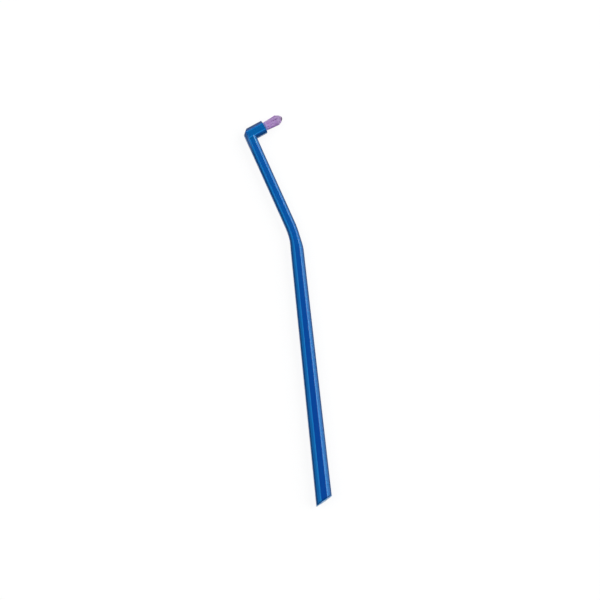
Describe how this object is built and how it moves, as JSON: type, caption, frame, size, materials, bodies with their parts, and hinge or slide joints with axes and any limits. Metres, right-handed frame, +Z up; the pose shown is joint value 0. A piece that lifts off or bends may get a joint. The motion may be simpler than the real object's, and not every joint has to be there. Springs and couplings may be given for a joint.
{
  "type": "single tuft toothbrush",
  "caption": "Slim toothbrush for spot cleaning: tapered octagonal grip with a slanted butt, bent neck, and a short mitred head that carries a pointed single tuft.",
  "frame": {"origin": "centre of the bounding box's bottom, as the brush lies on its side", "axes": "+Y along the grip from butt to neck, +X the way the tuft points across the grip, +Z up, square to the plane of the bends"},
  "size_m": [0.0184, 0.15, 0.0061],
  "materials": {
    "blue_plastic": "polished, slightly translucent injection moulding",
    "lilac_filament": "satin extruded filament, cut ends",
    "anchor_metal": "bright rolled strip with sheared edges"
  },
  "bodies": {
    "root": {"handle": "blue_plastic", "tuft": "lilac_filament", "anchor_strip": "anchor_metal"}
  },
  "joints": []
}
